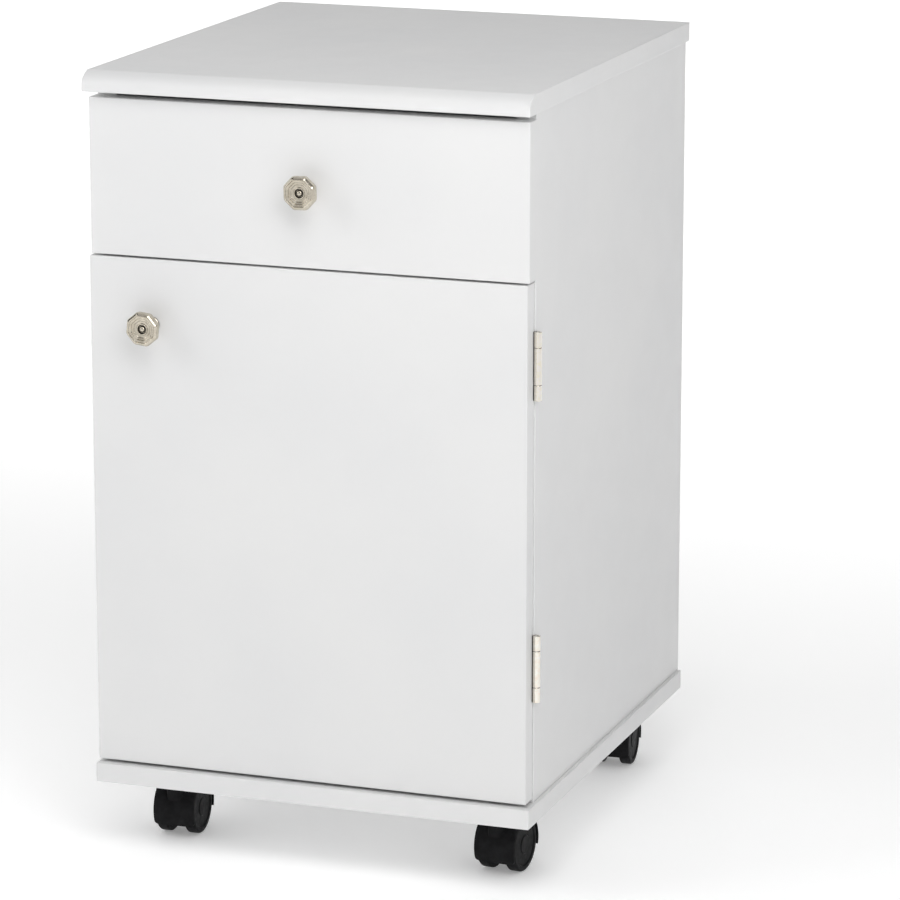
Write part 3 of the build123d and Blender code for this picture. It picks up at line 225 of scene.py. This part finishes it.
def make_light(name, azimuth, elevation, distance, size, power, aim=None):
    """Square soft light of a power in watts, at a distance from what it is aimed at.

    It is aimed at the cabinet's middle unless another place is given.
    """
    right, up, back = view_axes(azimuth, elevation)
    data = bpy.data.lights.new(name, "AREA")
    data.shape = "SQUARE"
    data.size = size
    data.energy = power
    light = bpy.data.objects.new(name, data)
    bpy.context.scene.collection.objects.link(light)
    turn = Matrix((right, up, back)).transposed().to_4x4()
    light.matrix_world = Matrix.Translation((aim or centre) + back * distance) @ turn


def make_world():
    """Dark studio with a little light from overhead and a pale band at the horizon."""
    world = bpy.data.worlds.new("studio")
    world.use_nodes = True
    bpy.context.scene.world = world
    tree = world.node_tree
    direction = tree.nodes.new("ShaderNodeTexCoord")
    split = tree.nodes.new("ShaderNodeSeparateXYZ")
    tree.links.new(direction.outputs["Generated"], split.inputs[0])
    ramp = tree.nodes.new("ShaderNodeValToRGB")
    while len(ramp.color_ramp.elements) < len(STUDIO_SHADES):
        ramp.color_ramp.elements.new(0.5)
    for stop, (height, shade) in zip(ramp.color_ramp.elements, STUDIO_SHADES):
        stop.position = height
        stop.color = (shade, shade, shade, 1)
    tree.links.new(split.outputs["Z"], ramp.inputs["Fac"])
    tree.links.new(ramp.outputs["Color"], tree.nodes["Background"].inputs["Color"])


def floor_finish():
    """White lit from below by a painted glow, dimmer where the cabinet closes it in, which is a painted
    shadow, and brighter farther off.
    """
    finish = Finish("floor", (0.86, 0.86, 0.86), 0.7)
    finish.shader.inputs["Specular IOR Level"].default_value = 0.2
    finish.shader.inputs["Emission Color"].default_value = (1, 1, 1, 1)
    # Painted shadow: the glow is lower where the cabinet closes the floor in.
    painted_shadow_openness = finish.openness(SHADE_REACH)
    near = finish.maths("MULTIPLY_ADD", painted_shadow_openness, FLOOR_SHADE, FLOOR_GLOW - FLOOR_SHADE)
    split = finish.feed(finish.place, finish.node("ShaderNodeSeparateXYZ"), "Vector")
    behind = finish.between(split.outputs["Y"], 0, FAR_GLOW, BEHIND_STARTS, BEHIND_ENDS)
    length = finish.feed(finish.place, finish.node("ShaderNodeVectorMath"), "Vector")
    length.operation = "LENGTH"
    around = finish.between(length.outputs["Value"], 0, FAR_GLOW, AROUND_STARTS, AROUND_ENDS)
    glow = finish.maths("ADD", near, finish.maths("MAXIMUM", behind, around))
    finish.tree.links.new(glow, finish.shader.inputs["Emission Strength"])
    return finish.material


def make_floor():
    """Plain white floor under the casters, wide enough to fill every view."""
    mesh = bpy.data.meshes.new("floor")
    sides = ((-1, -1), (1, -1), (1, 1), (-1, 1))
    mesh.from_pydata([(FLOOR_HALF * x, FLOOR_HALF * y, 0) for x, y in sides], [], [(0, 1, 2, 3)])
    mesh.materials.append(floor_finish())
    floor = bpy.data.objects.new("floor", mesh)
    floor.location.z = cad_low.z
    bpy.context.scene.collection.objects.link(floor)


def make_studio():
    """Camera, surroundings, floor and soft lights."""
    make_camera()
    make_world()
    make_floor()
    make_light("high_key", 20, 50, 2.6, 1.2, 16.4)
    make_light("right_key", 45, 30, 1.9, 1.0, 9.2)
    make_light("left_fill", -55, 30, 2.2, 1.2, 12)
    make_light("backdrop", 0, 90, 2.6, 4.0, 70, aim=BACKDROP_PLACE)
    make_light("overhead", 0, 90, 2.34, 2.4, 8)
    bpy.context.scene.view_settings.view_transform = "Standard"


# ---- Materials ----------------------------------------------------------------------------

# Colour of the painted shade in the nickel's recesses.
PAINTED_RECESS_SHADE = (0.03, 0.025, 0.018)


def white_laminate():
    """Satin white foil over board: fine pebble, faint waves and uneven gloss."""
    finish = Finish("white_laminate", (0.8, 0.8, 0.8), 0.4)
    cloud = finish.noise(6, detail=4)
    finish.shade(cloud, (0.785, 0.787, 0.79), (0.81, 0.81, 0.808))
    finish.rough(finish.noise(38, detail=5, roughness=0.65), 0.34, 0.46)
    finish.bump(finish.noise(9, detail=1), 0.12 * MM, 0.25)
    finish.bump(finish.noise(1100, detail=2), 0.012 * MM, 0.35)
    return finish.material


def drawer_board():
    """Drawer box board: plainer and slightly greyer than the outside."""
    finish = Finish("drawer_board", (0.76, 0.76, 0.75), 0.5)
    cloud = finish.noise(9, detail=3)
    finish.shade(cloud, (0.745, 0.745, 0.735), (0.78, 0.78, 0.775))
    finish.rough(finish.noise(60, detail=4), 0.44, 0.56)
    finish.bump(finish.cells(1500), 0.02 * MM, 0.3)
    return finish.material


def white_hardboard():
    """Painted hardboard with a faint fibre."""
    finish = Finish("white_hardboard", (0.74, 0.74, 0.73), 0.55)
    fibre = finish.noise(420, detail=6, roughness=0.7, place=finish.stretched((1.0, 1.0, 0.35)))
    finish.shade(fibre, (0.72, 0.72, 0.71), (0.77, 0.77, 0.76))
    finish.rough(fibre, 0.5, 0.62)
    finish.bump(fibre, 0.03 * MM, 0.3)
    return finish.material


def beech():
    """Fluted beech dowel."""
    finish = Finish("beech", (0.62, 0.43, 0.26), 0.6)
    grain = finish.noise(300, detail=6, place=finish.stretched((1, 1, 0.12)))
    finish.shade(grain, (0.5, 0.33, 0.19), (0.68, 0.49, 0.31))
    finish.bump(grain, 0.05 * MM, 0.5)
    return finish.material


def metal(name, dark, light, roughness, grain_scale):
    """Metal with a fine grain, faint cloudiness and uneven gloss."""
    finish = Finish(name, light, roughness, metallic=1.0)
    finish.shade(finish.noise(140, detail=4, roughness=0.6), dark, light)
    lines = finish.noise(grain_scale, detail=3)
    finish.rough(lines, roughness - 0.06, roughness + 0.08)
    finish.bump(lines, 0.01 * MM, 0.4)
    return finish.material


def nickel(name, dark, light, roughness, recess_shade_reach, recess_shade_depth):
    """Warm nickel plate, darkened in the recesses by painted shade."""
    finish = Finish(name, light, roughness, metallic=1.0)
    cloud = finish.noise(260, detail=4, roughness=0.6)
    unshaded = finish.mixed(finish.between(cloud, 0, 1), dark, light)
    # Painted shade: the colour darkens where other surfaces close a place in.
    painted_recess_shade = finish.between(finish.openness(recess_shade_reach), 1, 0, start=recess_shade_depth, end=0.92)
    finish.colour(finish.mixed(painted_recess_shade, unshaded, PAINTED_RECESS_SHADE))
    lines = finish.noise(2600, detail=2)
    finish.rough(lines, roughness - 0.04, roughness + 0.06)
    finish.bump(lines, 0.006 * MM, 0.25)
    return finish.material


def painted(name, dark, light, roughness, pebble):
    """Plain moulded or sprayed finish with a fine pebble."""
    finish = Finish(name, light, roughness)
    finish.shade(finish.noise(80, detail=4), dark, light)
    finish.rough(finish.noise(160, detail=3), roughness - 0.05, roughness + 0.07)
    finish.bump(finish.noise(pebble, detail=2), 0.02 * MM, 0.4)
    return finish.material


def black_plastic():
    """Moulded black nylon: dull, with faint scuffs."""
    finish = Finish("black_plastic", (0.014, 0.014, 0.0145), 0.42)
    finish.shader.inputs["Specular IOR Level"].default_value = 0.035
    cloud = finish.noise(90, detail=5, roughness=0.65)
    finish.shade(cloud, (0.011, 0.011, 0.0115), (0.018, 0.018, 0.019))
    finish.rough(finish.noise(240, detail=4), 0.34, 0.5)
    finish.bump(finish.noise(1900, detail=2), 0.015 * MM, 0.5)
    return finish.material


def all_finishes():
    """Material for each of the record's slots."""
    return {
        "white_laminate": white_laminate(),
        "drawer_board": drawer_board(),
        "white_hardboard": white_hardboard(),
        "beech": beech(),
        "satin_nickel": nickel("satin_nickel", (0.54, 0.49, 0.4), (0.66, 0.61, 0.52), 0.16, 2.4 * MM, 0.3),
        "zinc_plate": metal("zinc_plate", (0.5, 0.52, 0.55), (0.66, 0.68, 0.7), 0.32, 1500),
        "cast_zinc": metal("cast_zinc", (0.4, 0.41, 0.42), (0.52, 0.53, 0.54), 0.45, 2600),
        "white_epoxy": painted("white_epoxy", (0.74, 0.74, 0.73), (0.8, 0.8, 0.79), 0.35, 900),
        "white_nylon": painted("white_nylon", (0.72, 0.72, 0.69), (0.78, 0.78, 0.75), 0.4, 1600),
        "ferrite": painted("ferrite", (0.03, 0.03, 0.032), (0.06, 0.06, 0.062), 0.6, 2200),
        "black_plastic": black_plastic(),
        "axle_steel": metal("axle_steel", (0.42, 0.42, 0.43), (0.55, 0.55, 0.56), 0.28, 3000),
    }


# ---- CAD nodes ----------------------------------------------------------------------------

def dress_cad_nodes(finishes):
    """Every CAD node gets its slot's material, but the hinges a more polished nickel."""
    # The hinges' nickel also has painted shade in its recesses.
    polished = nickel("polished_nickel", (0.82, 0.77, 0.68), (0.9, 0.86, 0.79), 0.09, 2.0 * MM, 0.25)
    for part in frame["record"]["subparts"]:
        name = part["node"]
        finish = polished if name.startswith("hinge_") else finishes[part["material_slot"]]
        node = frame["nodes"][name]
        node.data.materials.clear()
        node.data.materials.append(finish)


# ---- Knobs --------------------------------------------------------------------------------

# How far a knob stands out, in millimetres, and how its corners are drawn: the points of each, and the
# share of the turn between two flats that they take, so that neighbouring corners don't meet.
KNOB_OUT = 24.5
KNOB_CORNER_POINTS = 7
KNOB_CORNER_SHARE = 0.96
KNOB_SIDES = 8
HALF_SIDE = 180 / KNOB_SIDES
# A rounded edge of the profile takes at most this share of the shorter side next to it.
EDGE_SHARE = 0.42
EDGE_STEPS = 3
# Across the flats, height above the front, roundness (1 is a circle) and edge radius, in millimetres.
KNOB_PROFILE = (
    (15.0, 0.0, 1.0, 0.0), (15.0, 1.5, 1.0, 0.5), (13.2, 2.1, 1.0, 0.3), (11.0, 2.4, 1.0, 0.6),
    (9.8, 5.0, 1.0, 3.0), (11.4, 8.6, 1.0, 3.0), (26.4, 16.4, 0.3, 1.2), (29.8, 17.9, 0.3, 0.8),
    (30.0, 21.3, 0.3, 1.0), (28.2, 22.9, 0.3, 0.5), (25.4, 24.3, 0.32, 0.4), (24.0, 24.4, 0.34, 0.3),
    (23.0, 23.6, 0.36, 0.3), (19.6, 23.4, 0.4, 0.3), (18.7, 22.6, 0.42, 0.3), (15.6, 22.4, 0.48, 0.3),
    (14.7, 21.7, 0.6, 0.3), (10.9, 21.6, 1.0, 0.2), (10.2, 22.3, 1.0, 0.25), (8.7, 22.3, 1.0, 0.25),
    (8.0, 21.6, 1.0, 0.2), (7.6, 20.0, 1.0, 0.1), (5.3, 20.0, 1.0, 0.1), (5.1, 21.3, 1.0, 0.7),
    (3.6, 22.3, 1.0, 1.2), (1.2, 22.7, 1.0, 0.6), (0.3, 22.7, 1.0, 0.0),
)


def rounded_profile(profile):
    """Profile with a small curve in place of each corner."""
    rounded = [profile[0][:3]]
    for before, here, after in zip(profile, profile[1:], profile[2:]):
        lengths = [math.hypot(p[0] - here[0], p[1] - here[1]) for p in (before, after)]
        reach = min(here[3], EDGE_SHARE * min(lengths))
        first = [h + (b - h) * reach / lengths[0] for h, b in zip(here[:3], before)]
        last = [h + (a - h) * reach / lengths[1] for h, a in zip(here[:3], after)]
        for step in range(EDGE_STEPS + 1):
            t = step / EDGE_STEPS
            rounded.append([f * (1 - t) ** 2 + 2 * h * t * (1 - t) + l * t ** 2
                            for f, h, l in zip(first, here[:3], last)])
    return rounded + [profile[-1][:3]]


def octagon_ring(across, roundness):
    """Points round an octagon with flats at the top and sides and arcs at its corners."""
    apothem = across / 2
    radius = roundness * apothem
    corner = (apothem - radius) / math.cos(math.radians(HALF_SIDE))
    points = []
    for k in range(KNOB_SIDES):
        middle = math.radians(HALF_SIDE * (2 * k + 1))
        for j in range(KNOB_CORNER_POINTS):
            share = 2 * j / (KNOB_CORNER_POINTS - 1) - 1
            angle = middle + math.radians(HALF_SIDE * KNOB_CORNER_SHARE) * share
            points.append((corner * math.cos(middle) + radius * math.cos(angle),
                           corner * math.sin(middle) + radius * math.sin(angle)))
    return points


def knob_mesh(name, middle, turn):
    """Closed skin over the knob's rings, turned by degrees, with its back's middle at a place."""
    cosine = math.cos(math.radians(turn))
    sine = math.sin(math.radians(turn))
    made = bmesh.new()
    rings = []
    for across, height, roundness in rounded_profile(KNOB_PROFILE):
        ring = []
        for u, v in octagon_ring(across, roundness):
            x = u * cosine - v * sine
            z = u * sine + v * cosine
            ring.append(made.verts.new(middle + Vector((x, -height, z)) * MM))
        rings.append(ring)
    for inner, outer in zip(rings, rings[1:]):
        for i in range(len(inner)):
            j = (i + 1) % len(inner)
            made.faces.new((inner[i], inner[j], outer[j], outer[i]))
    made.faces.new(reversed(rings[0]))
    made.faces.new(rings[-1])
    bmesh.ops.recalc_face_normals(made, faces=made.faces)
    mesh = bpy.data.meshes.new(name)
    made.to_mesh(mesh)
    made.free()
    for face in mesh.polygons:
        face.use_smooth = True
    return mesh


def make_knob(node, body, turn, material):
    """Octagonal knob with a stepped face, a groove and a domed button, over its CAD node."""
    low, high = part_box(node)
    middle = Vector(((low.x + high.x) / 2, low.y + KNOB_OUT * MM, (low.z + high.z) / 2))
    mesh = knob_mesh(node + "_turned", middle, turn)
    mesh.materials.append(material)
    knob = bpy.data.objects.new(node + "_turned", mesh)
    bpy.context.scene.collection.objects.link(knob)
    knob.modifiers.new("normals", "WEIGHTED_NORMAL")
    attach(knob, body)
    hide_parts(node)


# ---- The scene ----------------------------------------------------------------------------

make_studio()
finishes = all_finishes()
dress_cad_nodes(finishes)
make_knob("drawer_knob", "drawer", 2.0, finishes["satin_nickel"])
make_knob("door_knob", "door", -6.0, finishes["satin_nickel"])
